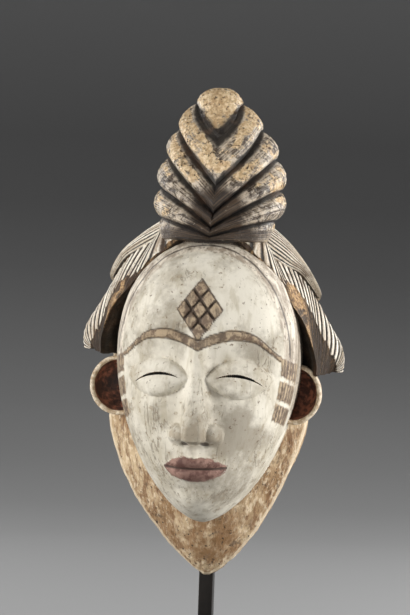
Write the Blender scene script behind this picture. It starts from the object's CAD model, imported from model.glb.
import math

import bpy
import numpy as np
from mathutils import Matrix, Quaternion, Vector, noise


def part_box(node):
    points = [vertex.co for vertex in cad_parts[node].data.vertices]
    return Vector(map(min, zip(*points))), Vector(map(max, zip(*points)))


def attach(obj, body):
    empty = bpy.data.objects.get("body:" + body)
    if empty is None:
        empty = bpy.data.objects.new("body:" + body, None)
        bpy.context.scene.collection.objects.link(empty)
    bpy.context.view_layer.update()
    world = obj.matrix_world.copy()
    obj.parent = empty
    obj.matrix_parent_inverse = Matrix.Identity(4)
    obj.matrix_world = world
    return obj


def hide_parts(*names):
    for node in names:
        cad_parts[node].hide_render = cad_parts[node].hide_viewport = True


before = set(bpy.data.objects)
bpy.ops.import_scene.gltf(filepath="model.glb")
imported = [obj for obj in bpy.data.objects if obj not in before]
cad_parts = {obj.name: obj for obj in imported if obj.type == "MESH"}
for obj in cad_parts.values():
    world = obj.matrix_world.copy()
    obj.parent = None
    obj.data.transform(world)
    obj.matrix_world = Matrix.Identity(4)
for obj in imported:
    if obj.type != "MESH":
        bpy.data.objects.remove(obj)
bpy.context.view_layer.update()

# The carving grid: x to the right, z up from the collar's tip, f forward from the mask's back plane.
MM = 0.001
DRAWN_HEIGHT = 330
MASK_HEIGHT = 329.5
mask_low, mask_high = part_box("mask")
UNIT = (mask_high[2] - mask_low[2]) / MASK_HEIGHT
TIP_Z = mask_low[2]

# The post's back face lies this far behind the mask's back plane, in metres.
POST_REACH = 0.0123
BACK_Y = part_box("stand_post")[1][1] - POST_REACH


def place(x, z, f):
    """Points of the carving grid, in metres."""
    x, z, f = np.broadcast_arrays(x, z, f)
    return np.stack([x * UNIT, BACK_Y - f * UNIT, TIP_Z + z * UNIT], axis=-1)


def mix(a, b, share):
    return a + (b - a) * share


def smooth(low, high, value):
    share = np.clip((value - low) / (high - low), 0, 1)
    return share * share * (3 - 2 * share)


def hump(x, z, cx, cz, rx, rz):
    return np.exp(-(((x - cx) / rx) ** 2) - ((z - cz) / rz) ** 2)


def dome(x, z, cx, cz, rx, rz):
    return np.sqrt(np.clip(1 - ((x - cx) / rx) ** 2 - ((z - cz) / rz) ** 2, 0, None))


def along(stations, value):
    """A smooth line through a few stations."""
    xs = np.array([s[0] for s in stations], dtype=float)
    ys = np.array([s[1] for s in stations], dtype=float)
    last = len(xs) - 1
    before = np.maximum(np.arange(last + 1) - 1, 0)
    after = np.minimum(np.arange(last + 1) + 1, last)
    slopes = (ys[after] - ys[before]) / (xs[after] - xs[before])
    k = np.clip(np.searchsorted(xs, value, side="right") - 1, 0, last - 1)
    run = xs[k + 1] - xs[k]
    t = np.clip((value - xs[k]) / run, 0, 1)
    return ((2 * t ** 3 - 3 * t ** 2 + 1) * ys[k] + (t ** 3 - 2 * t ** 2 + t) * run * slopes[k]
            + (3 * t ** 2 - 2 * t ** 3) * ys[k + 1] + (t ** 3 - t ** 2) * run * slopes[k + 1])


CURVE_OVERRUN = 4


def curve(points, share):
    """A Catmull-Rom curve through points, with a short straight run past its ends."""
    p = np.array(points, dtype=float)
    p = np.vstack([2 * p[0] - p[1], p, 2 * p[-1] - p[-2]])
    spans = len(points) - 1
    inside = np.clip(share, 0, 1)
    over = (np.asarray(share) - inside)[..., None]
    k = np.clip((inside * spans).astype(int), 0, spans - 1)
    t = (inside * spans - k)[..., None]
    a, b, c, d = p[k], p[k + 1], p[k + 2], p[k + 3]
    slope, bend, twist = c - a, 2 * a - 5 * b + 4 * c - d, 3 * b - a - 3 * c + d
    point = 0.5 * (2 * b + slope * t + bend * t ** 2 + twist * t ** 3)
    tangent = 0.5 * (slope + 2 * bend * t + 3 * twist * t ** 2)
    tangent /= np.linalg.norm(tangent, axis=-1, keepdims=True)
    return point + tangent * over * CURVE_OVERRUN


# Camera
CAMERA_YAW = math.radians(7)
CAMERA_PITCH = math.radians(1.5)
CAMERA_ROLL = math.radians(2)
CAMERA_DISTANCE = 1.9
PHOTO_HEIGHT = 615
MM_PER_PIXEL = 0.679
AIM_X, AIM_Z, AIM_F = -7.9, 181.2, 6


def add_camera():
    aim = Vector(place(AIM_X, AIM_Z, AIM_F).tolist())
    away = Vector((math.sin(CAMERA_YAW) * math.cos(CAMERA_PITCH),
                   -math.cos(CAMERA_YAW) * math.cos(CAMERA_PITCH), math.sin(CAMERA_PITCH)))
    data = bpy.data.cameras.new("camera")
    data.sensor_fit = 'VERTICAL'
    data.sensor_height = 24
    data.lens = data.sensor_height * CAMERA_DISTANCE / (PHOTO_HEIGHT * MM_PER_PIXEL * MM)
    camera = bpy.data.objects.new("camera", data)
    bpy.context.collection.objects.link(camera)
    camera.location = aim + away * CAMERA_DISTANCE
    camera.rotation_mode = 'QUATERNION'
    camera.rotation_quaternion = (-away).to_track_quat('-Z', 'Y') @ Quaternion((0, 0, 1), CAMERA_ROLL)
    bpy.context.scene.camera = camera


# Meshes from rings of points. Each point carries the values that its finish reads.
ZONES = dict(white=-9.0, lip=-9.0, scar=-9.0, hair=0.0, deep=0.0, wear=0.0, pale=0.0, strand=0.0, rough=0.3,
             soot=0.0)
HIGHEST_WINS = ("white", "hair", "rough")


def deselect():
    bpy.ops.object.select_all(action='DESELECT')


def active(piece):
    deselect()
    piece.select_set(True)
    bpy.context.view_layer.objects.active = piece


def put_values(mesh, name, values):
    layer = mesh.attributes.get(name) or mesh.attributes.new(name, 'FLOAT', 'POINT')
    layer.data.foreach_set("value", np.asarray(values, dtype=np.float32).reshape(-1))


def wrapped(name, rings, finish, **zones):
    """A closed body from rings of points: a grid rolled up into a tube, with its ends filled."""
    rows, columns = rings.shape[:2]
    deselect()
    bpy.ops.mesh.primitive_grid_add(x_subdivisions=columns, y_subdivisions=rows - 1)
    piece = bpy.context.object
    piece.name = name
    piece.data.materials.append(finish)
    points = np.concatenate([rings, rings[:, :1]], axis=1)
    piece.data.vertices.foreach_set("co", points.reshape(-1).astype(np.float32))
    for zone, plain in ZONES.items():
        value = np.broadcast_to(np.asarray(zones.get(zone, plain), dtype=np.float32), (rows, columns))
        put_values(piece.data, zone, np.concatenate([value, value[:, :1]], axis=1))
    put_values(piece.data, "drawn", np.ones((rows, columns + 1)))
    bpy.ops.object.mode_set(mode='EDIT')
    bpy.ops.mesh.select_all(action='SELECT')
    bpy.ops.mesh.remove_doubles(threshold=1e-6)
    bpy.ops.mesh.select_mode(type='EDGE')
    bpy.ops.mesh.select_all(action='DESELECT')
    bpy.ops.mesh.select_non_manifold(extend=False)
    bpy.ops.mesh.edge_face_add()
    bpy.ops.mesh.select_all(action='SELECT')
    bpy.ops.mesh.normals_make_consistent(inside=False)
    bpy.ops.object.mode_set(mode='OBJECT')
    return piece


def joined(body, other, operation):
    """Adds or cuts one closed body to or from another, and removes the other."""
    active(body)
    change = body.modifiers.new("change", 'BOOLEAN')
    change.operation = operation
    change.solver = 'MANIFOLD'
    change.material_mode = 'TRANSFER'
    change.object = other
    bpy.ops.object.modifier_apply(modifier=change.name)
    bpy.data.objects.remove(other)
    return body


# The head: an egg in front view, with straight cheeks behind and a rounded front.
CHIN_Z, CROWN_Z, WIDE_Z = 39, 232, 150
HEAD_HALF, CHEEK_DEPTH, FACE_DEPTH, FULLNESS = 61.5, 34, 100, 2.3
BROW_Z, EYE_X, EYE_Z, NOSE_Z, MOUTH_Z = 160, 27, 138, 101, 79
EYE_HALF, EYE_TALL, EYE_SWELL = 21, 12.5, 8.2
NOSE_TOP, NOSTRIL_X, NOSTRIL_Z = BROW_Z + 2, 6.6, NOSE_Z - 5.6
LIP_HALF, UPPER_LIP, LOWER_LIP = 21, 8.2, 8.8
SLIT_HALF, SLIT_DROP, SLIT_ARCH, SLIT_OPEN, SLIT_TILT, SLIT_REACH = 15.5, -3, 3.5, 0.95, 0.3, 30


def head_size(z, inset=0):
    low, high = CHIN_Z + inset, CROWN_Z - inset
    below = np.clip((WIDE_Z - z) / (WIDE_Z - low), 0, 1)
    above = np.clip((z - WIDE_Z) / (high - WIDE_Z), 0, 1)
    width = np.where(z < WIDE_Z, (1 - below ** 1.75) ** 0.62, (1 - above ** 2.2) ** 0.5)
    depth = np.where(z < WIDE_Z, (1 - below ** 3.2) ** 0.42, (1 - above ** 2.6) ** 0.5)
    return (HEAD_HALF - inset) * width, mix(CHEEK_DEPTH, FACE_DEPTH - inset, depth)


def eye_height(side, z):
    """A full almond under each brow, with the lids' two edges along the slit."""
    dx = np.clip(np.abs((side - EYE_X) / EYE_HALF), 0, 1)
    tall = EYE_TALL * (1 - dx ** 2) ** 0.75 + 0.01
    ball = EYE_SWELL * (1 - dx ** 2) ** 0.5 * np.sqrt(np.clip(1 - ((z - EYE_Z + 0.5) / tall) ** 2, 0, 1))
    slit = EYE_Z + SLIT_DROP + SLIT_ARCH * (1 - ((side - EYE_X) / SLIT_HALF) ** 2)
    lids = 0.9 * np.exp(-((np.abs(z - slit) - 2.2) / 1.3) ** 2) * (1 - dx ** 2)
    return ball + lids


def nose_height(side, z):
    """A straight ridge that widens to two round wings over the nostrils."""
    run = np.clip((NOSE_TOP - z) / (NOSE_TOP - NOSE_Z), 0, 1)
    half = mix(5.4, 8.6, run)
    above = np.exp(-(np.clip(z - NOSE_TOP, 0, None) / 7) ** 2)
    ridge = mix(2.5, 16.5, run ** 1.15) * np.exp(-((side / half) ** 2.5)) * above
    ball = 3.2 * dome(side, z, 0, NOSE_Z + 2, 10, 9)
    wing = 9 * dome(side, z, 11, NOSE_Z, 7.4, 7.2) ** 0.85
    body = np.maximum(ridge + ball, wing)
    body = body * smooth(NOSE_Z - 8.5, NOSE_Z - 2.5, z)
    return body - 3.2 * dome(side, z, NOSTRIL_X, NOSTRIL_Z, 3.6, 2.2)


def mouth_lines(x):
    taper = np.clip(1 - (x / LIP_HALF) ** 2, 0, 1)
    middle = MOUTH_Z + 0.0022 * x ** 2
    bow = 1 - 0.2 * np.exp(-((x / 3.6) ** 2))
    return middle, middle + UPPER_LIP * taper ** 0.8 * bow, middle - LOWER_LIP * taper ** 0.7, taper


def lip_swell(share, fullness):
    """A rounded lip, from the line where the lips meet to its outer edge."""
    return 1.0 + fullness * np.sin(math.pi * np.clip(mix(0.04, 0.86, share), 0, 1)) ** 0.8


def mouth_height(x, z):
    middle, top, bottom, taper = mouth_lines(x)
    up = (z - middle) / np.maximum(top - middle, 0.01)
    down = (middle - z) / np.maximum(middle - bottom, 0.01)
    upper = np.where((up > 0) & (up < 1), lip_swell(up, 3.6), 0)
    lower = np.where((down >= 0) & (down < 1), lip_swell(down, 4.2), 0)
    return (upper + lower) * taper ** 0.35


def brow_distance(side, z):
    line = BROW_Z - 3 + 9 * np.sin(math.pi * np.clip((side + 3) / 54, 0, 1)) - 6 * smooth(34, 54, side)
    half = mix(3.4, 1.8, smooth(20, 52, side))
    return np.where(side < 52.5, half - np.abs(z - line), -9)


LOZENGE_TOP, LOZENGE_HALF, LOZENGE_DROP, LOZENGE_CELLS = 203, 15.5, 21, 3


def lozenge_distance(x, z):
    """How far inside the lozenge a point is, and how far from its nearest incised line."""
    drop = (LOZENGE_TOP - z) / LOZENGE_DROP
    u, v = (drop + x / LOZENGE_HALF) / 2, (drop - x / LOZENGE_HALF) / 2
    side = math.hypot(LOZENGE_HALF, LOZENGE_DROP)
    inside = np.minimum.reduce([u, 1 - u, v, 1 - v]) * side
    cell_u, cell_v = np.abs((u * LOZENGE_CELLS) % 1 - 0.5), np.abs((v * LOZENGE_CELLS) % 1 - 0.5)
    line = (0.5 - np.maximum(cell_u, cell_v)) * side / LOZENGE_CELLS
    return inside, line


TEMPLE_BLOCKS = ((108, 119.5), (122, 134.5), (137, 149.5))
TEMPLE_ANGLES = (0.2, 0.6)
TEMPLE_GROOVES = 6


def temple_distance(angle, z):
    """How far inside a temple block a point is, and its place across the block's upright grooves."""
    turned = np.minimum(angle, math.pi - angle)
    across = (turned - TEMPLE_ANGLES[0]) / (TEMPLE_ANGLES[1] - TEMPLE_ANGLES[0])
    sideways = np.minimum(across, 1 - across) * 22
    level = z - 5 * (across - 0.5)
    inside = np.full(np.shape(z), -9.0)
    for low, high in TEMPLE_BLOCKS:
        inside = np.maximum(inside, np.minimum(np.minimum(level - low, high - level), sideways))
    return inside, across * TEMPLE_GROOVES


WHITE_HALF, WHITE_WIDE_Z, WHITE_TALL, WHITE_LOW_Z = 54, 145, 75, 104


def white_distance(x, z):
    """How far inside the white oval a point is."""
    above = np.clip((z - WHITE_WIDE_Z) / WHITE_TALL, 0, None)
    reach = (np.abs(x) / WHITE_HALF) ** 2 + above ** 2.2
    level = np.where(z > WHITE_LOW_Z, (WHITE_HALF + 2 - np.abs(x)) * 1.2, 9)
    return np.where(z > WHITE_WIDE_Z, (1 - reach) * 28, level)


def flesh_height(side, z):
    """Broad forms: eye sockets, cheeks, mouth, chin and the hollows between them."""
    return (-6 * hump(side, z, EYE_X, EYE_Z + 6, 20, 12) + 3 * hump(side, z, 36, 112, 18, 18)
            + 5 * hump(side, z, 0, MOUTH_Z, 26, 17) - 2.2 * hump(side, z, 0, MOUTH_Z - 14, 15, 5)
            + 5 * hump(side, z, 0, CHIN_Z + 15, 17, 12) - 1.2 * hump(side, z, 0, NOSE_Z - 11, 2.8, 5))


def rubbed_clay(side, z):
    """Where touch has worn the clay: the nose and the chin."""
    return (hump(side, z, 0, NOSE_Z + 1, 9, 7) + 0.7 * hump(side, z, 11, NOSE_Z, 6, 5)
            + 0.5 * hump(side, z, 0, 52, 16, 8))


def sooty_clay(x, z):
    """Where the clay has darkened, beside the nose, on one temple and on one cheek."""
    return (0.9 * hump(x, z, 25, 96, 19, 26) + 0.4 * hump(x, z, -36, 180, 20, 30)
            + 0.5 * hump(x, z, -30, 112, 14, 18))


def head_section(angle, half):
    """The head's rounded cross-section: the place to the side, and the rise from cheek to front."""
    spread = np.cos(angle)
    x = half * np.sign(spread) * np.abs(spread) ** (2 / FULLNESS)
    return x, np.clip(np.sin(angle), 0, None) ** (2 / FULLNESS)


def head_surface(angle, z):
    """The carved head's surface, and its zones of colour."""
    half, front = head_size(z)
    x, rise = head_section(angle, half)
    side = np.abs(x)
    brow = brow_distance(side, z)
    inside, line = lozenge_distance(x, z)
    block, stripe = temple_distance(angle, z)
    middle, top, bottom, taper = mouth_lines(x)
    lip = np.where(side < LIP_HALF, np.minimum(top - z, z - bottom), -9)
    white = white_distance(x, z)
    raised = 1.5 * smooth(-0.4, 1.0, brow) - 0.7 * np.exp(-((brow - 0.2) / 0.7) ** 2)
    raised = np.where(inside > -1, np.maximum(raised, 0), raised)
    cell = 2.0 * smooth(-0.2, 0.7, inside) * smooth(0.3, 1.9, line)
    raised = raised * (1 - smooth(-0.5, 0.5, inside)) + cell
    groove = 0.5 - 0.5 * np.cos(2 * math.pi * stripe)
    raised = raised + smooth(-0.3, 0.6, block) * (0.5 + 1.2 * groove)
    incised = np.exp(-((white + 3.2) / 0.55) ** 2) * smooth(146, 156, z)
    edge = 0.8 * smooth(0.6, -0.6, white) * smooth(150, 160, z)
    f = CHEEK_DEPTH + (front - CHEEK_DEPTH) * rise
    carved = flesh_height(side, z) + eye_height(side, z) + nose_height(side, z) + mouth_height(x, z)
    f = f + (carved + raised - 0.7 * incised + edge) * rise
    deep = np.exp(-((z - middle) / 1.0) ** 2) * (taper > 0.02)
    deep = np.maximum(deep, smooth(-0.3, 0.3, inside) * (1 - smooth(0.5, 1.7, line)))
    deep = np.maximum(deep, smooth(-0.3, 0.3, block) * (1 - groove) * 0.8)
    deep = np.maximum(deep, 0.9 * np.exp(-((brow - 0.3) / 0.8) ** 2) * (side < 52) * (inside < -0.5))
    deep = np.maximum(deep, incised)
    deep = np.maximum(deep, dome(side, z, NOSTRIL_X, NOSTRIL_Z, 3.4, 2.0))
    scar = np.maximum(np.maximum(brow, inside), block)
    hair = smooth(0.5, -0.5, white) * smooth(146, 152, z)
    zones = dict(white=white, lip=lip, scar=scar, hair=hair, deep=deep, wear=rubbed_clay(side, z),
                 rough=mix(0.07, 0.3, hair), soot=sooty_clay(x, z))
    return place(x, z, f), zones


HEAD_COLUMNS, HEAD_ROWS = 190, 200


def head_body():
    level = np.linspace(0, 1, HEAD_ROWS)
    bunched = (1 - np.cos(math.pi * mix(0.01, 0.99, level))) / 2
    z = mix(CHIN_Z + 0.05, CROWN_Z - 0.05, mix(level, bunched, 0.35))[:, None]
    turn = np.linspace(-1, 1, HEAD_COLUMNS)
    angle = (math.pi / 2 * (1 - np.sign(turn) * np.abs(turn) ** 1.12))[None, :]
    angle, z = np.broadcast_arrays(angle[:, ::-1], z)
    points, zones = head_surface(angle, z)
    half, _ = head_size(z[:, 0])
    ends = np.stack([place(-half, z[:, 0], 0), place(half, z[:, 0], 0)], axis=1)
    rings = np.concatenate([points, ends], axis=1)
    for key, value in zones.items():
        kept = 0 if key in ("deep", "wear", "soot") else 1
        zones[key] = np.concatenate([value, value[:, -1:] * kept, value[:, :1] * kept], axis=1)
    body = wrapped("mask_body", rings, CLAY, **zones)
    body.data.materials.append(BARE_WOOD)
    for face in body.data.polygons:
        if face.center.y > BACK_Y - MM / 2:
            face.material_index = 1
    return body


# The collar: a shield that runs down to a blunt tip and round behind the head.
COLLAR_WIDE, COLLAR_SHOULDER, COLLAR_TOP, COLLAR_HALF, RIM_DEPTH = 118.6, 124, 233, 71, 10
COLLAR_LEFT = ((0, 5.5), (13.3, 19.6), (24.5, 30), (35.7, 39.4), (46.8, 47.3), (57.9, 54), (68.9, 59.8),
               (80, 64.6), (96.5, 69.4), (118.6, 71))
COLLAR_RIGHT = ((0, 5.5), (13.3, 18.5), (24.5, 27.7), (35.7, 35.5), (46.8, 41.9), (57.9, 47.3), (68.9, 52.2),
                (80, 57), (96.5, 62.8), (118.6, 66.5))
COLLAR_SLOPE = ((1.6, 11.8), (14, 21), (27, 28), (42, 30))
COLLAR_MIDDLE = 140


def collar_half_width(z, side):
    lower = along(side, z) * np.sqrt(np.clip((z + 0.4) / 5, 0, 1))
    above = np.clip((z - COLLAR_SHOULDER) / (COLLAR_TOP - COLLAR_SHOULDER), 0, 1)
    return np.where(z < COLLAR_WIDE, lower, side[-1][1] * np.sqrt(1 - above ** 2))


def collar_rings(section, steps):
    share = (np.arange(steps) + 0.5) / steps
    z = COLLAR_TOP * (1 - np.cos(math.pi * share)) / 2
    x = np.concatenate([collar_half_width(z, COLLAR_RIGHT), -collar_half_width(z, COLLAR_LEFT)[::-1]])
    z = np.concatenate([z, z[::-1]])
    inset, f = np.array(section, dtype=float).T[:, :, None]
    shrink = 1 - inset / COLLAR_MIDDLE
    return place(x * (1 - inset / COLLAR_HALF), COLLAR_MIDDLE + (z - COLLAR_MIDDLE) * shrink, f)


def collar_body():
    section = [(0, 0), (0, 3.5), (0, 7), (0.1, RIM_DEPTH - 1.2), (0.6, RIM_DEPTH + 0.6),
               (1.6, RIM_DEPTH + 1.8)]
    section += [(inset, along(COLLAR_SLOPE, inset)) for inset in np.linspace(3, 42, 26)]
    pale = np.array([0.7 if 0 < inset < 2 else 0 for inset, _ in section])[:, None]
    rings = collar_rings(section, 110)
    soot = hump(rings[..., 0] / UNIT, (rings[..., 2] - TIP_Z) / UNIT, 0, 28, 30, 32)
    return wrapped("collar", rings, BARE_WOOD, pale=pale, rough=0.75, soot=soot)


WALL, RIM_WIDTH, HOLLOW_START = 13, 15, -2


def hollow_body():
    """The hollow behind the face and the collar, with the marks of a gouge."""
    section = [(RIM_WIDTH, HOLLOW_START), (RIM_WIDTH, 1), (RIM_WIDTH, 4), (RIM_WIDTH + 3, 8.5),
               (RIM_WIDTH + 7, 12), (RIM_WIDTH + 14, 17), (RIM_WIDTH + 22, 22)]
    collar = wrapped("collar_hollow", collar_rings(section, 40), BARE_WOOD, rough=0.6, wear=1.0)
    z = mix(CHIN_Z + WALL + 0.4, CROWN_Z - WALL - 0.4, np.linspace(0, 1, 60))[:, None]
    angle = np.linspace(0, math.pi, 50)[None, :]
    half, front = head_size(z, WALL)
    x, rise = head_section(angle, half)
    gouge = 0.7 * np.abs(np.sin(z / 5.2 + 2.1 * np.sin(angle * 3))) * rise
    points = place(x, z, CHEEK_DEPTH + (front - CHEEK_DEPTH) * rise - gouge)
    ends = np.stack([place(x_end, z, HOLLOW_START)[:, 0] for x_end in (-half, half)], axis=1)
    rings = np.concatenate([points, ends], axis=1)
    return joined(collar, wrapped("head_hollow", rings, BARE_WOOD, rough=0.6, wear=1.0), 'UNION')


# The chignon: a lobe of thick locks that meet in a V on the front, and end over the hair band.
CHIGNON_X, CHIGNON_TILT = 3.8, 4.8
LOCK_TIPS = np.array([330, 294, 262.5, 244, 235, 229, 227.5], dtype=float)
LOCK_NOTCHES = np.array([330, 319, 301, 282, 261, 241, 227.5], dtype=float)
CHIGNON_LEAN = ((218, 46), (245, 40), (270, 32), (300, 24), (330, 17))
CHIGNON_WIDTHS = ((214, 29), (226, 33), (242, 38), (261, 39.5), (282, 35.5), (301, 27), (312.5, 18.5),
                  (330, 8))
CHIGNON_DEPTH = 0.82
LOCK_BULGE, KNOB_BASE, KNOB_HALF = 5.0, 312.5, 17
LOCK_ROWS, CHIGNON_COLUMNS = 20, 180
LOCK_SPAN = 18
UNDER_EDGE = ((-0.5, -0.5), (-0.9, -3.5), (-1.1, -9), (-12, -14))


def groove_height(k, front, sideways):
    """The height of a valley between two locks: a V on the front, flatter behind."""
    middle = np.where(front, LOCK_TIPS[k], mix(LOCK_NOTCHES[k], LOCK_TIPS[k], 0.35))
    return mix(middle, LOCK_NOTCHES[k], sideways)


def chignon_wear(x, z, f, middle):
    """Rubbed on the knob and the upper crests, scorched low down in the middle."""
    wear = 0.32 * middle * smooth(250, 276, z) + 0.2 * smooth(296, 306, z) + 0.01 * (1 - middle)
    wear = wear - 1.2 * hump(x, z, 6, 245, 17, 19) * (f > 40)
    return wear - 0.8 * smooth(240, 231, z) * mix(0.4, 1, middle)


def chignon_body():
    locks = len(LOCK_NOTCHES) - 1
    lock = np.linspace(0, locks, locks * LOCK_ROWS + 1)
    lock[0] = 0.012
    turn = np.linspace(-1, 1, CHIGNON_COLUMNS, endpoint=False)
    turn = math.pi * (0.72 * turn + 0.28 * np.sign(turn) * np.abs(turn) ** 3)
    lock, turn = np.meshgrid(lock, turn, indexing="ij")
    whole = np.minimum(lock.astype(int), locks - 1)
    part = lock - whole
    sideways = np.abs(np.sin(turn)) ** 0.9
    front = np.cos(turn) > 0
    facing = np.clip(np.cos(turn), 0, 1) ** 0.6
    knob = whole == 0
    skirt = whole == locks - 1
    low, high = groove_height(whole + 1, front, sideways), groove_height(whole, front, sideways)
    z = mix(high, low, np.where(knob, 1 - np.cos(math.pi / 2 * part), part))
    wave = np.sin(math.pi * np.clip(part, 0, 1) ** mix(1.0, 1.2, facing))
    wave = np.where(skirt & (part > 0.5), 1, wave)
    rounding = np.clip(wave, 0, 1) ** mix(0.6, 1.0, facing)
    bulge = LOCK_BULGE * rounding * np.where(front, 1, 0.6)
    bulge = bulge * np.where(knob, 0.15, 1) * np.where(skirt, 0.4, 1)
    knob_share = np.clip((z - KNOB_BASE) / (DRAWN_HEIGHT - KNOB_BASE), 0, 1)
    knob_radius = KNOB_HALF * np.sqrt(1 - knob_share ** 2)
    radius = np.where(knob & (z > KNOB_BASE), knob_radius, along(CHIGNON_WIDTHS, z))
    strands = 0.16 * np.sin(part * 40 + 3 * np.sin(turn * 5 + whole)) * rounding
    radius = radius + bulge + strands - 0.8 * (1 - rounding) ** 2 * np.where(knob, 0, 1)
    lift = bulge * 0.25 * smooth(262, 320, z)
    shift = CHIGNON_X * smooth(214, 250, z) - CHIGNON_TILT * smooth(276, 326, z)
    lean = along(CHIGNON_LEAN, z)
    z = z + lift
    for down, out in UNDER_EDGE:
        z = np.vstack([z, z[-1:] * 0 + LOCK_NOTCHES[-1] + down])
        radius = np.vstack([radius, radius[locks * LOCK_ROWS][None] + out])
        shift, lean, turn, rounding, lock, part, whole = (
            np.vstack([values, values[-1:]]) for values in (shift, lean, turn, rounding, lock, part, whole))
    x = shift + radius * np.sin(turn)
    f = lean + radius * CHIGNON_DEPTH * np.cos(turn)
    facing = np.clip(np.cos(turn), 0, 1)
    valley = smooth(mix(0.5, 0.9, facing), 0, rounding)
    deep = valley * smooth(0.3, 0.9, np.where(whole == 0, part, 1))
    wear = chignon_wear(x, z, f, np.exp(-((turn / 0.75) ** 2)))
    return wrapped("chignon", place(x, z, f), HAIR, hair=1.0, deep=deep, wear=wear,
                   strand=lock * LOCK_SPAN, rough=0.3)


# The hair wings, drawn for the left side: the back edge, the front edge and the root on the head.
WING_BACK = ((30, 243, 30), (49, 227, 22), (61, 213, 15), (69, 201, 10), (78.5, 184, 7), (86, 171, 6),
             (88, 161, 6), (86.5, 150.5, 6))
WING_FRONT = ((20, 230, 64), (40.5, 211.4, 58), (54, 195.5, 53), (65, 183, 48.5), (71.5, 169, 44),
              (74, 158, 40), (74.5, 151, 38), (78.5, 150.5, 27), (82.5, 150.5, 15))
WING_ROOT = ((12, 224, 44), (36, 205, 36), (45, 195, 30), (52, 183, 24), (56, 170, 18), (58, 156, 14),
             (58, 152.5, 12), (58.5, 152.5, 11), (59, 152.5, 10))
LEAF_BACK = ((30, 245, 34), (42.5, 236, 27), (55.5, 223.5, 20), (65, 212.5, 14), (71.5, 201.5, 10),
             (71, 197, 11))
LEAF_FRONT = ((36, 230, 46), (45.8, 222.5, 38.5), (53.3, 217, 30.5), (60.8, 211.8, 21), (66.2, 205.3, 14.5),
              (70, 199, 11.5))
LEAF_FRONT_RIGHT = ((34.9, 224.5, 52), (41.1, 217.5, 42.5), (47.6, 214.5, 33), (57, 213, 22),
                    (64.3, 206.5, 14.5), (70, 198.6, 11))
LEAF_OUTWARD = (0.62, 0.55, 0.56)
LEAF_THICKNESS, LEAF_ROWS = 14, 40
STRAND_COLUMNS, FACE_COLUMNS, ROOT_COLUMNS = 18, 14, 8

# How each wing hangs, how its strands are cut, and its upper leaf.
WINGS = (
    dict(hang=dict(side=-1, drop=0, spread=1),
         wing=dict(cuts=21, slant=0.3, worn_edge=0.34),
         leaf=dict(strands=8, leaf_front=LEAF_FRONT, flush=0.55)),
    dict(hang=dict(side=1, drop=9.5, spread=0.98),
         wing=dict(cuts=27, slant=0.34, worn_edge=0.5),
         leaf=dict(strands=10, leaf_front=LEAF_FRONT_RIGHT, flush=0.4)),
)
GROOVE_ROWS = 6


def dropped(points, width, drop):
    return place(width * points[..., 0], points[..., 1] - drop, points[..., 2])


def wing_body(side, drop, spread, cuts, slant, worn_edge):
    """A hanging wing of hair, grooved outside, worn along its front edge and cut back inside."""
    total = cuts * GROOVE_ROWS
    share = np.linspace(0, 1 + slant, total + 1)
    groove = np.abs(np.sin(math.pi * np.arange(total + 1) / GROOVE_ROWS))
    cut_line = 1 - groove ** 0.7
    back, front, root = curve(WING_BACK, share - slant), curve(WING_FRONT, share), curve(WING_ROOT, share)
    outward = (back + front) / 2 - root
    outward /= np.linalg.norm(outward, axis=-1, keepdims=True)
    ragged = 0.02 * np.sin(share * 61) + 0.014 * np.sin(share * 143 + 1)
    worn = worn_edge * smooth(0.12, 0.5, share) * (1 - 0.75 * smooth(0.7, 1.1, share))
    worn = worn + 0.03 + ragged + 0.02 * cut_line
    burnt_low, burnt_high = 0.6 * smooth(0.38, 0.26, share), smooth(0.42, 0.58, share)
    columns, deep, wear, pale, rough = [], [], [], [], []

    def add(points, deep_here, wear_here, pale_here, rough_here):
        columns.append(points)
        for values, here in ((deep, deep_here), (wear, wear_here), (pale, pale_here), (rough, rough_here)):
            values.append(np.broadcast_to(here, share.shape))

    def arch(t):
        return 4.6 * np.sin(math.pi * np.clip(t * 1.02, 0, 1)) ** 0.8

    for t in np.linspace(0, 1, STRAND_COLUMNS):
        reach = t * (1 - worn)
        sunk = 1.7 * cut_line * (0.3 + 0.7 * smooth(0, 0.1, t))
        point = back + (front - back) * reach[:, None] + outward * (arch(reach) - sunk)[:, None]
        add(point, 1 - groove ** 1.4, 0, 1, 0.12)
    for t in (0.04, 0.2, 0.4, 0.6, 0.8, 1.0):
        reach = mix(1 - worn, 1, t)
        sunk = mix(0.9, 2.0, t) + 0.8 * cut_line * (1 - t) ** 4
        point = back + (front - back) * reach[:, None] + outward * (arch(reach) - sunk)[:, None]
        burnt = np.maximum(burnt_low, burnt_high * mix(0.8, 1, t))
        add(point, mix(0.1, 0.84, burnt), 1.0, 0, 1.0)
    end = columns[-1]
    for t in np.linspace(0, 1, FACE_COLUMNS)[1:]:
        bow = -3.2 * math.sin(math.pi * t)
        add(mix(end, root, t) + outward * bow, 1.0, mix(1.0, -0.4, min(1, t * 2)), 0, 1.0)
    for t in np.linspace(0, 1, ROOT_COLUMNS)[1:-1]:
        add(mix(root, back, t), 0, 0, 0, 0.2)
    points = np.stack(columns, axis=1)
    deep, wear, pale, rough = (np.stack(values, axis=1) for values in (deep, wear, pale, rough))
    fall = drop * smooth(0, 0.55, share)[:, None]
    strand = (share * cuts * 3)[:, None]
    return wrapped("wing", dropped(points, side * spread, fall), HAIR, hair=1.0, deep=deep, wear=wear,
                   pale=pale, rough=rough, strand=strand)


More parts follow.
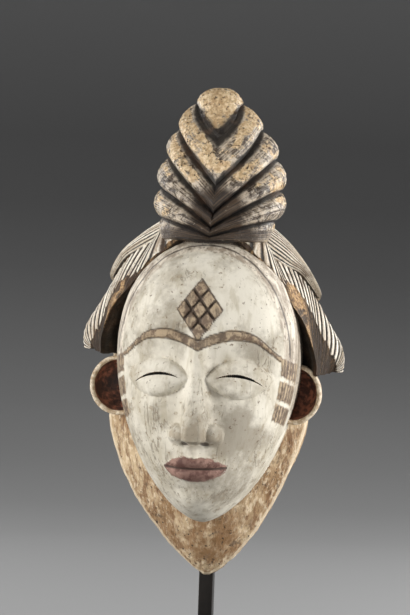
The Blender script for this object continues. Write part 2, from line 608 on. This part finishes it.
def leaf_body(side, drop, spread, strands, leaf_front, flush):
    """The short upper layer of a wing, with strands that fan out from the crown."""
    lengthwise = np.linspace(0, 1, LEAF_ROWS)[:, None]
    across = np.linspace(0, 1, strands * GROOVE_ROWS + 1)[None, :]
    back = curve(LEAF_BACK, lengthwise + 0 * across)
    front = curve(leaf_front, lengthwise + 0 * across)
    sheet = mix(back, front, (across + 0 * lengthwise)[..., None])
    groove = np.abs(np.sin(math.pi * across * strands)) + 0 * lengthwise
    cut_line = 1 - groove ** 0.7
    outward = np.array(LEAF_OUTWARD)
    lifted = smooth(-0.1, flush, lengthwise)
    height = mix(-2.5, 2, lifted)
    arch = height + 3.5 * np.sin(math.pi * across) * np.sin(math.pi * (0.25 + lengthwise * 0.7))
    outer = sheet + outward * (arch - 1.6 * cut_line)[..., None]
    last = sheet[:, -1:]
    edge_columns = [last + outward * (height - down)[..., None] for down in (0.9, 1.8, 3.2, 5.5)]
    inner = (sheet - outward * LEAF_THICKNESS)[:, ::-8]
    rings = np.concatenate([outer, *edge_columns, inner], axis=1)
    tail = np.ones((len(lengthwise), len(edge_columns) + inner.shape[1]))
    deep = np.concatenate([1 - groove ** 1.4, 0.6 * tail], axis=1)
    deep[-1] = 0.35
    pale = np.concatenate([np.ones_like(cut_line), 0 * tail], axis=1)
    wear = np.concatenate([0 * cut_line, 0.7 * tail], axis=1)
    rough = np.concatenate([0 * cut_line + 0.12, 0.6 * tail], axis=1)
    strand = np.concatenate([across * strands * 3 + 0 * lengthwise, 0 * tail + strands * 3], axis=1)
    fall = drop * 0.9 * smooth(0, 0.9, lengthwise)
    return wrapped("leaf", dropped(rings, side * spread, fall), HAIR, hair=1.0, deep=deep, wear=wear,
                   pale=pale, rough=rough, strand=strand)


# The ears: half cups that open forward beside the temples.
EAR_Z, EAR_F, EAR_REACH, EAR_CUP, EAR_WALL = 128, 30, 20.5, 19, 3.2
EAR_LEFT, EAR_RIGHT = (60, 1, 0), (57.5, 0.88, -1.5)


def ear_body(side):
    """A round bowl with a rolled rim, hollow towards the front."""
    middle, narrow, lower = EAR_RIGHT if side > 0 else EAR_LEFT
    rim_f = 6.5
    profile = []
    for turn in np.linspace(0.02, 1.1, 16):
        profile.append((EAR_REACH * math.sin(turn * 1.42), -EAR_CUP * math.cos(turn * 1.42), 0))
    for turn in np.linspace(0, math.pi, 7)[1:]:
        wall = EAR_WALL / 2
        profile.append((EAR_REACH - wall + wall * math.cos(turn), rim_f - 1.5 + wall * math.sin(turn), 0.15))
    for turn in np.linspace(1.0, 0.02, 16):
        bowl = turn * 1.5
        profile.append(((EAR_REACH - EAR_WALL) * math.sin(bowl), 5 - (EAR_CUP - 4) * math.cos(bowl), 1))
    radius, depth, inside = np.array(profile).T[:, :, None]
    turn = np.linspace(0, 2 * math.pi, 72, endpoint=False)[None, :]
    outer = np.clip(np.cos(turn - math.radians(140)), 0, 1)
    shape = 1 - 0.1 * outer ** 2
    x = middle + radius * np.cos(turn) * shape * narrow
    z = EAR_Z + lower + radius * np.sin(turn) * shape
    f = EAR_F + depth - 0.12 * (z - EAR_Z)
    ear = smooth(0.3, 0.9, inside) + 0 * turn
    return wrapped("ear", place(side * x, z, f), EAR_WOOD, deep=ear, rough=0.25)


def slit_body(side):
    """The cutter of an eye's slit, tilted so that no light shows through."""
    share = np.linspace(-1, 1, 25)
    taper = 1 - share ** 2
    x = share * SLIT_HALF
    middle = SLIT_DROP + SLIT_ARCH * taper
    upper, lower = middle + SLIT_OPEN * taper, middle - SLIT_OPEN * taper
    x = np.concatenate([x, x[-2:0:-1]])
    z = np.concatenate([upper, lower[-2:0:-1]])
    rings = []
    for run in (-SLIT_REACH, 0, SLIT_REACH):
        rings.append(place(side * EYE_X + x,
                           EYE_Z + z * math.cos(SLIT_TILT) + run * math.sin(SLIT_TILT),
                           FACE_DEPTH - 6 + run * math.cos(SLIT_TILT) - z * math.sin(SLIT_TILT)))
    return wrapped("slit", np.stack(rings), BARE_WOOD, deep=1.0)


def settle_zones(piece):
    """Gives the points that the joins made a value from their neighbours."""
    mesh = piece.data
    count = len(mesh.vertices)
    edges = np.empty(len(mesh.edges) * 2, dtype=np.int32)
    mesh.edges.foreach_get("vertices", edges)
    a, b = edges.reshape(-1, 2).T
    values = {}
    for zone in (*ZONES, "drawn"):
        values[zone] = np.empty(count, dtype=np.float32)
        mesh.attributes[zone].data.foreach_get("value", values[zone])
    known = values.pop("drawn") > 0.5
    while not known.all():
        near = np.zeros(count)
        np.add.at(near, a[known[b]], 1)
        np.add.at(near, b[known[a]], 1)
        fresh = ~known & (near > 0)
        if not fresh.any():
            break
        for zone, value in values.items():
            highest = zone in HIGHEST_WINS
            gather = np.maximum if highest else np.add
            found = np.full(count, -99.0 if highest else 0.0)
            gather.at(found, a[known[b]], value[b[known[b]]])
            gather.at(found, b[known[a]], value[a[known[a]]])
            value[fresh] = found[fresh] if highest else found[fresh] / near[fresh]
        known = known | fresh
    for zone, value in values.items():
        put_values(mesh, zone, value)
    return values


def unevenness(points, across, up):
    return np.array([noise.noise(Vector((x * across, y * across, z * up))) for x, y, z in points.tolist()])


def tool_marks(piece, rough):
    """Shallow knife facets and pits in the wood."""
    mesh = piece.data
    count = len(mesh.vertices)
    points = np.empty(count * 3, dtype=np.float32)
    normals = np.empty(count * 3, dtype=np.float32)
    mesh.vertices.foreach_get("co", points)
    mesh.vertex_normals.foreach_get("vector", normals)
    points, normals = points.reshape(-1, 3), normals.reshape(-1, 3)
    depth = unevenness(points, 90, 55) * 1.1 + unevenness(points, 260, 150) * 0.7
    points = points + normals * (depth * rough * MM)[:, None]
    points = np.clip(points, np.array(mask_low), np.array(mask_high))
    mesh.vertices.foreach_set("co", points.reshape(-1).astype(np.float32))
    mesh.update()


def mask_piece():
    body = head_body()
    body = joined(body, collar_body(), 'UNION')
    body = joined(body, chignon_body(), 'UNION')
    for wing in WINGS:
        body = joined(body, wing_body(**wing["hang"], **wing["wing"]), 'UNION')
        body = joined(body, leaf_body(**wing["hang"], **wing["leaf"]), 'UNION')
    body = joined(body, hollow_body(), 'DIFFERENCE')
    for side in (-1, 1):
        body = joined(body, ear_body(side), 'UNION')
        body = joined(body, slit_body(side), 'DIFFERENCE')
    body.name = "carved_mask"
    tool_marks(body, settle_zones(body)["rough"])
    active(body)
    bpy.ops.object.shade_smooth_by_angle(angle=math.radians(50))
    return body


# Materials
class Value:
    """A number, a place or a colour that one node of a material gives."""

    def __init__(self, tree, socket):
        self.tree = tree
        self.socket = socket

    def __add__(self, other):
        return math_of(self.tree, 'ADD', self, other)

    def __sub__(self, other):
        return math_of(self.tree, 'SUBTRACT', self, other)

    def __rsub__(self, other):
        return math_of(self.tree, 'SUBTRACT', other, self)

    def __mul__(self, other):
        return math_of(self.tree, 'MULTIPLY', self, other)

    def __truediv__(self, other):
        return math_of(self.tree, 'DIVIDE', self, other)

    def part(self, axis):
        return add_node(self.tree, "SeparateXYZ", axis, {"Vector": self})

    def noise(self, scale, detail, rough, distortion=0.0):
        return add_node(self.tree, "TexNoise", "Fac",
                        {"Vector": self, "Scale": scale, "Detail": detail, "Roughness": rough,
                         "Distortion": distortion})

    def rise(self, low, high):
        """0 below low, 1 above high, smooth between."""
        return add_node(self.tree, "MapRange", "Result",
                        {"Value": self, "From Min": low, "From Max": high},
                        interpolation_type='SMOOTHSTEP')

    def mix(self, a, b):
        """Colour a where this is 0, colour b where it is 1."""
        a, b = (colour if isinstance(colour, Value) else light_of(colour) for colour in (a, b))
        return add_node(self.tree, "Mix", "Result", {"Factor": self, "A": a, "B": b}, data_type='RGBA')


def link(tree, source, target):
    if isinstance(source, Value):
        tree.links.new(source.socket, target)
    else:
        target.default_value = source


def add_node(tree, kind, output, inputs, **settings):
    node = tree.nodes.new("ShaderNode" + kind)
    for name, value in settings.items():
        setattr(node, name, value)
    for name, value in inputs.items():
        link(tree, value, node.inputs[name])
    return Value(tree, node.outputs[output])


def math_of(tree, operation, a, b=0.0):
    return add_node(tree, "Math", "Value", {0: a, 1: b}, operation=operation)


def light_of(colour):
    """A colour as seen on a screen, turned into light."""
    levels = [c / 255 for c in colour]
    return tuple(c / 12.92 if c <= 0.04045 else ((c + 0.055) / 1.055) ** 2.4 for c in levels) + (1,)


def attribute(tree, name):
    return add_node(tree, "Attribute", "Fac", {}, attribute_name=name)


def object_coords(tree, height_scale=1):
    coords = add_node(tree, "TexCoord", "Object", {})
    return add_node(tree, "Mapping", "Vector", {"Vector": coords, "Scale": (1, 1, height_scale)})


def strand_coords(tree, along_strand):
    """Coordinates for streaks that run with the locks and strands."""
    coords = add_node(tree, "TexCoord", "Object", {})
    return add_node(tree, "CombineXYZ", "Vector",
                    {"X": attribute(tree, "strand"), "Y": coords.part("X") * along_strand,
                     "Z": coords.part("Z") * along_strand})


def new_tree(name):
    material = bpy.data.materials.new(name)
    material.use_nodes = True
    return material, material.node_tree


def surfaced(material, colour, rough, bumps=(), metallic=0.0, specular=0.5):
    """Gives a material its colour, its roughness and a fine relief from a few patterns."""
    tree = material.node_tree
    shader = tree.nodes["Principled BSDF"]
    for name, value in (("Base Color", colour), ("Roughness", rough), ("Metallic", metallic),
                        ("Specular IOR Level", specular)):
        link(tree, value, shader.inputs[name])
    below = {}
    for pattern, strength, distance in bumps:
        inputs = {"Height": pattern, "Strength": strength, "Distance": distance, **below}
        below = {"Normal": add_node(tree, "Bump", "Normal", inputs)}
    if below:
        link(tree, below["Normal"], shader.inputs["Normal"])
    return material


def bare_wood():
    """Light wood with upright grain, pores, worm holes and old stains, rubbed pale along its edges."""
    material, tree = new_tree("bare_wood")
    vector = object_coords(tree)
    patches = vector.noise(40, 6, 0.65)
    fine = object_coords(tree, 0.5).noise(340, 5, 0.7)
    streaks = object_coords(tree, 0.22).noise(230, 6, 0.7)
    dark_grain = object_coords(tree, 0.3).noise(640, 5, 0.7)
    soot = attribute(tree, "soot")
    colour = patches.rise(0.32, 0.68).mix((164, 132, 96), (208, 184, 148))
    colour = (vector.noise(17, 3, 0.5).rise(0.46, 0.6) * 0.45).mix(colour, (148, 114, 74))
    colour = (fine.rise(0.5, 0.6) * 0.6).mix(colour, (236, 218, 188))
    colour = (streaks.rise(0.5, 0.62) * 0.8).mix(colour, (122, 86, 54))
    grained = dark_grain.rise(0.53, 0.62) * patches.rise(0.62, 0.4)
    colour = (grained * 0.8).mix(colour, (80, 56, 36))
    colour = (soot * patches.rise(0.6, 0.4)).mix(colour, (136, 100, 62))
    holes = vector.noise(300, 3, 0.6) + soot * 0.05
    colour = (holes.rise(0.66, 0.7) * 0.9).mix(colour, (40, 28, 20))
    stains = vector.noise(90, 5, 0.65)
    colour = (stains.rise(0.6, 0.7) * 0.65).mix(colour, (70, 52, 38))
    rim = (attribute(tree, "pale") + fine * 0.9).rise(0.8, 1.2)
    colour = (rim * 0.65).mix(colour, (232, 214, 184))
    colour = (attribute(tree, "wear") * 0.55).mix(colour, (88, 62, 42))
    colour = attribute(tree, "deep").mix(colour, (16, 12, 10))
    bumps = ((streaks, 0.8, 0.001), (fine, 0.7, 0.0007), (dark_grain, 0.5, 0.0005))
    return surfaced(material, colour, streaks * 0.3 + 0.6, bumps)


def stained_hair():
    """Dark stained hair, rubbed to the ochre wood on the crests and pale on the wings' strands."""
    material, tree = new_tree("stained_hair")
    vector = object_coords(tree)
    deep, wear, pale = (attribute(tree, name) for name in ("deep", "wear", "pale"))
    patches = vector.noise(52, 6, 0.62, 0.5)
    fine = vector.noise(380, 6, 0.7)
    streaks = strand_coords(tree, 34).noise(1.1, 6, 0.65)
    specks = vector.noise(430, 4, 0.65)
    clouds = vector.noise(130, 6, 0.7, 0.6)
    burnt = wear.rise(-0.1, -0.6)
    bare = wear.rise(0.4, 0.8)
    uneven_stain = streaks * 0.45 + clouds * 0.55
    stain = uneven_stain.rise(0.42, 0.58).mix((72, 58, 46), (204, 188, 166))
    stain = (fine.rise(0.5, 0.64) * 0.5).mix(stain, (222, 210, 192))
    wood = fine.rise(0.4, 0.62).mix((188, 156, 114), (228, 204, 166))
    wood = (specks.rise(0.57, 0.62) * 0.85).mix(wood, (74, 52, 34))
    rubbed = patches + (streaks - 0.5) * 0.25 + (fine - 0.5) * 0.3 + wear * 0.4 - deep * 0.3
    colour = rubbed.rise(0.53, 0.57).mix(stain, wood)
    charred = streaks.rise(0.42, 0.62).mix((32, 24, 18), (84, 66, 48))
    scorched = vector.noise(75, 6, 0.7, 0.8).rise(0.55, 0.6)
    colour = (scorched * wear.rise(0.35, 0.05) * 0.8).mix(colour, (44, 32, 24))
    colour = (burnt * fine.rise(0.76, 0.6)).mix(colour, charred)
    cream = streaks.rise(0.4, 0.6).mix((186, 168, 144), (248, 240, 224))
    cream = (patches.rise(0.54, 0.66) * 0.65).mix(cream, (122, 98, 74))
    colour = pale.mix(colour, cream)
    worn = fine.rise(0.42, 0.58).mix((108, 78, 46), (190, 154, 108))
    worn = (patches.rise(0.5, 0.58) * 0.9).mix(worn, (50, 34, 22))
    colour = bare.mix(colour, worn)
    uneven = (fine - 0.5) + (streaks - 0.5)
    dark = (deep + uneven * (bare * 0.8 + 0.8)).rise(0.22, 0.75)
    black = patches.rise(0.5, 0.64).mix((22, 16, 12), (64, 46, 32))
    colour = (dark * 0.95).mix(colour, black)
    colour = (specks.rise(0.6, 0.68) * 0.75).mix(colour, (46, 34, 26))
    rough = fine * 0.26 + 0.12 + pale * 0.3 + bare * 0.45 + burnt * 0.25 + dark * 0.2
    bumps = ((streaks, 0.6, 0.0009), (clouds, 0.6, 0.002), (fine, 0.55, 0.0007), (specks, 0.5, 0.0006))
    return surfaced(material, colour, rough, bumps, specular=0.4)


def white_clay():
    """The face: white clay over wood, cracked and rubbed, with stained scars, lips and hair band."""
    material, tree = new_tree("white_clay")
    vector, grain = object_coords(tree), object_coords(tree, 0.18)
    broad = vector.noise(26, 5, 0.62)
    fine = vector.noise(190, 5, 0.65)
    brushed = grain.noise(170, 5, 0.65)
    specks = vector.noise(380, 3, 0.6)
    clay = broad.rise(0.36, 0.62).mix((190, 181, 162), (222, 215, 199))
    clay = (brushed.rise(0.5, 0.66) * 0.45).mix(clay, (172, 160, 134))
    rubbed = fine + attribute(tree, "wear") * 0.16 - broad.rise(0.42, 0.6) * 0.1
    clay = (rubbed.rise(0.53, 0.63) * 0.6).mix(clay, (160, 144, 120))
    wandering = math_of(tree, 'ABSOLUTE', grain.noise(62, 5, 0.6, 0.4) - 0.5)
    cracks = wandering.rise(0.012, 0.0) * broad.rise(0.58, 0.44)
    clay = (cracks * 0.55).mix(clay, (112, 94, 74))
    soot = vector.noise(22, 6, 0.68) + attribute(tree, "soot") * 0.2
    clay = (soot.rise(0.5, 0.68) * 0.7).mix(clay, (138, 127, 109))
    clay = (specks.rise(0.64, 0.7) * 0.7).mix(clay, (110, 90, 70))
    ragged = (fine - 0.5) * 5.0
    white = (attribute(tree, "white") + ragged).rise(-0.8, 0.8)
    scar = (attribute(tree, "scar") + ragged).rise(-0.7, 0.9)
    lip = (attribute(tree, "lip") + ragged).rise(-0.5, 0.5)
    band = brushed.rise(0.4, 0.62).mix((156, 142, 124), (216, 205, 187))
    band = (specks.rise(0.56, 0.66) * 0.6).mix(band, (84, 68, 54))
    colour = white.mix(band, clay)
    scar_tone = fine.rise(0.42, 0.6).mix((98, 74, 52), (172, 150, 120))
    scar_tone = (brushed.rise(0.52, 0.64) * 0.7).mix(scar_tone, (74, 56, 42))
    colour = (scar * 0.92).mix(colour, scar_tone)
    lip_tone = fine.rise(0.4, 0.6).mix((104, 72, 62), (158, 124, 110))
    lip_tone = (broad.rise(0.5, 0.62) * 0.5).mix(lip_tone, (84, 52, 46))
    colour = lip.mix(colour, lip_tone)
    deep = attribute(tree, "deep").rise(0.25, 0.9) * fine.rise(0.2, 0.5)
    colour = (deep * 0.85).mix(colour, (50, 38, 30))
    bumps = ((brushed, 0.45, 0.0006), (fine, 0.35, 0.0005), (1.0 - cracks, 0.7, 0.0005))
    return surfaced(material, colour, white * 0.14 + 0.5 + fine * 0.25, bumps)


def ear_wood():
    """Pale worn wood, stained red-brown to black inside the cup."""
    material, tree = new_tree("ear_wood")
    vector = object_coords(tree)
    broad = vector.noise(60, 5, 0.6)
    fine = vector.noise(260, 5, 0.65)
    rim = fine.rise(0.4, 0.62).mix((172, 148, 118), (222, 208, 184))
    stain = fine.rise(0.4, 0.6).mix((76, 44, 32), (142, 88, 66))
    stain = (broad.rise(0.5, 0.62) * 0.8).mix(stain, (30, 20, 17))
    inside = attribute(tree, "deep") + (fine - 0.5) * 1.2
    colour = inside.rise(0.3, 0.75).mix(rim, stain)
    return surfaced(material, colour, fine * 0.25 + 0.5, ((fine, 0.6, 0.0007),))


def stand_steel():
    """Blackened steel with a satin sheen."""
    material, tree = new_tree("stand_steel")
    vector = object_coords(tree)
    cloud = vector.noise(40, 4, 0.6)
    fine = vector.noise(600, 3, 0.5)
    colour = cloud.rise(0.35, 0.65).mix((22, 19, 16), (34, 29, 25))
    return surfaced(material, colour, fine * 0.16 + 0.34, ((fine, 0.2, 0.0002),), metallic=0.5)


# The stand: a square bar with an arm and a crossbar at its top, on a plate, in metres.
EDGE = 0.0007
POST_X = -0.0016
ARM_HEIGHT = 0.006
POST_WIDTH = 0.0095
POST_DEPTH = 0.012


def steel_block(name, low, high):
    deselect()
    middle = [(a + b) / 2 for a, b in zip(low, high)]
    bpy.ops.mesh.primitive_cube_add(size=1, location=middle)
    block = bpy.context.object
    block.name = name
    block.scale = [b - a for a, b in zip(low, high)]
    bpy.ops.object.transform_apply(location=True, rotation=True, scale=True)
    return block


def bevelled(block, width):
    active(block)
    bevel = block.modifiers.new("edges", 'BEVEL')
    bevel.width = width
    bevel.segments = 3
    bevel.limit_method = 'ANGLE'
    bpy.ops.object.modifier_apply(modifier=bevel.name)
    bpy.ops.object.shade_smooth_by_angle(angle=math.radians(40))
    return block


def stand_piece(name, node, blocks, width, finish):
    body = steel_block(name, *blocks[0])
    for block in blocks[1:]:
        body = joined(body, steel_block("block", *block), 'UNION')
    body = bevelled(body, width)
    body.data.materials.clear()
    body.data.materials.append(finish)
    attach(body, "root")
    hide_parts(node)
    return body


def add_stand(finish):
    low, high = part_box("stand_post")
    plate_low, plate_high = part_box("stand_plate")
    left, right = POST_X - POST_WIDTH / 2, POST_X + POST_WIDTH / 2
    arm_z = high[2] - ARM_HEIGHT
    post = ((left, high[1] - POST_DEPTH, plate_high[2]), (right, high[1], high[2]))
    arm = ((left, low[1] + EDGE, arm_z), (right, high[1] - POST_DEPTH / 2, high[2]))
    crossbar = ((low[0], low[1], arm_z), (high[0], low[1] + ARM_HEIGHT, high[2]))
    stand_piece("steel_post", "stand_post", (post, arm, crossbar), EDGE, finish)
    stand_piece("steel_plate", "stand_plate", ((plate_low, plate_high),), 2 * EDGE, finish)


# The backdrop and the light
FLOOR_REACH = 1.1
SWEEP_RADIUS = 2.3
WALL_TOP = 4.2
FLOOR_GAP = 0.0002
SWEEP_STEPS, SWEEP_TURNS = 16, 72
PAPER_TONES = ((0.5, 0.33), (0.75, 0.335), (1.05, 0.35), (1.4, 0.325), (1.8, 0.303), (2.2, 0.234),
               (2.45, 0.182), (2.7, 0.147), (2.95, 0.143), (3.5, 0.22))


def backdrop_sweep():
    """A round studio floor that sweeps up into a wall on every side."""
    profile = [(0.001, 0.0), (0.4, 0.0), (FLOOR_REACH, 0.0)]
    for k in range(1, SWEEP_STEPS + 1):
        turn = math.pi / 2 * k / SWEEP_STEPS
        profile.append((FLOOR_REACH + SWEEP_RADIUS * math.sin(turn), SWEEP_RADIUS * (1 - math.cos(turn))))
    profile.append((FLOOR_REACH + SWEEP_RADIUS, WALL_TOP))
    deselect()
    bpy.ops.mesh.primitive_grid_add(x_subdivisions=SWEEP_TURNS, y_subdivisions=len(profile) - 1)
    sweep = bpy.context.object
    sweep.name = "backdrop"
    points = []
    for reach, height in profile:
        for k in range(SWEEP_TURNS + 1):
            angle = 2 * math.pi * k / SWEEP_TURNS
            points.append((reach * math.cos(angle), reach * math.sin(angle), height - FLOOR_GAP))
    sweep.data.vertices.foreach_set("co", np.array(points, dtype=np.float32).reshape(-1))
    bpy.ops.object.mode_set(mode='EDIT')
    bpy.ops.mesh.select_all(action='SELECT')
    bpy.ops.mesh.remove_doubles(threshold=0.002)
    bpy.ops.mesh.normals_make_consistent(inside=True)
    bpy.ops.object.mode_set(mode='OBJECT')
    bpy.ops.object.shade_smooth()
    return sweep


def studio_paper():
    """Paper that is pale near the object and dark far off."""
    material, tree = new_tree("studio_paper")
    coords = add_node(tree, "TexCoord", "Object", {})
    flat = add_node(tree, "VectorMath", "Vector", {0: coords, 1: (1, 1, 0)}, operation='MULTIPLY')
    reach = add_node(tree, "VectorMath", "Value", {0: flat}, operation='LENGTH')
    span = PAPER_TONES[-1][0]
    ramp = tree.nodes.new("ShaderNodeValToRGB")
    link(tree, (reach + coords.part("Z")) / span, ramp.inputs["Fac"])
    stops = ramp.color_ramp.elements
    for k, (distance, tone) in enumerate(PAPER_TONES):
        stop = stops[k] if k < 2 else stops.new(distance / span)
        stop.position = distance / span
        stop.color = (tone, tone, tone, 1)
    return surfaced(material, Value(tree, ramp.outputs["Color"]), 0.9)


def add_backdrop():
    sweep = backdrop_sweep()
    sweep.data.materials.append(studio_paper())


def add_light(name, place_at, aim, size, power):
    data = bpy.data.lights.new(name, 'AREA')
    data.shape = 'RECTANGLE'
    data.size, data.size_y = size
    data.energy = power
    lamp = bpy.data.objects.new(name, data)
    lamp.location = place_at
    lamp.rotation_euler = (Vector(aim) - Vector(place_at)).to_track_quat('-Z', 'Y').to_euler()
    bpy.context.collection.objects.link(lamp)


def add_lights():
    middle = (0, -0.02, 0.27)
    add_light("soft_left", (-1.3, -0.75, 0.6), middle, (0.5, 1.0), 22)
    add_light("soft_right", (1.4, -0.25, 0.52), middle, (0.4, 1.0), 23)
    add_light("front_fill", (-0.1, -1.7, 0.75), middle, (0.8, 0.5), 3)
    add_light("low_fill", (-0.3, -1.5, 0.12), (0, 0, 0.2), (0.6, 0.2), 3)
    add_light("rim_right", (0.95, 0.85, 0.65), middle, (0.3, 0.9), 13)
    add_light("rim_left", (-1.0, 0.8, 0.6), middle, (0.3, 0.9), 5)
    world = bpy.data.worlds.new("room")
    world.use_nodes = True
    world.node_tree.nodes["Background"].inputs["Color"].default_value = (1, 1, 1, 1)
    world.node_tree.nodes["Background"].inputs["Strength"].default_value = 0.25
    bpy.context.scene.world = world


bpy.context.scene.view_settings.view_transform = 'Standard'
add_camera()
add_backdrop()
add_lights()

CLAY, BARE_WOOD, HAIR, EAR_WOOD = white_clay(), bare_wood(), stained_hair(), ear_wood()
mask = mask_piece()
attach(mask, "root")
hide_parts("mask")
add_stand(stand_steel())
